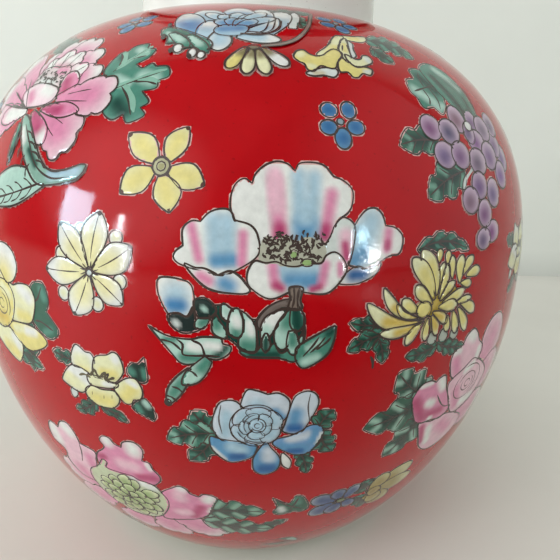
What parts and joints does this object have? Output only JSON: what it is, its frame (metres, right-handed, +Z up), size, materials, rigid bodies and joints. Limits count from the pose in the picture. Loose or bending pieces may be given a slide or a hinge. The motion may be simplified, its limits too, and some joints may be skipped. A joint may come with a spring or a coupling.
{
  "type": "ginger jar",
  "caption": "Round-shouldered porcelain ginger jar with a plain collar neck, foot ring and loose cap lid that lifts off.",
  "frame": {"origin": "centre of the foot ring's resting face", "axes": "+Z up along the jar's turned axis; +X to the right and +Y away from someone who faces the large central flower"},
  "size_m": [0.2, 0.2, 0.2295],
  "materials": {
    "white_porcelain": "clear gloss glaze over white clay",
    "collar_glaze": "pale grey-green gloss glaze",
    "bare_clay": "unglazed, lightly worn",
    "red_enamel": "gloss red enamel",
    "white_enamel": "raised gloss enamel",
    "pink_enamel": "raised gloss enamel",
    "blue_enamel": "raised gloss enamel",
    "yellow_enamel": "raised gloss enamel",
    "green_enamel": "raised gloss enamel",
    "dark_line": "thin brush line"
  },
  "bodies": {
    "jar": {"lower_body": "white_porcelain", "upper_body": "white_porcelain", "neck_collar": "collar_glaze", "foot_ring": "bare_clay", "red_ground": "red_enamel"},
    "lid": {"lid_shell": "white_porcelain", "lid_red_ground": "red_enamel"}
  },
  "joints": [
    {"name": "lid_lift", "type": "slide", "parent": "jar", "child": "lid", "axis": [0, 0, 1], "range_m": [0, 0.12]}
  ]
}
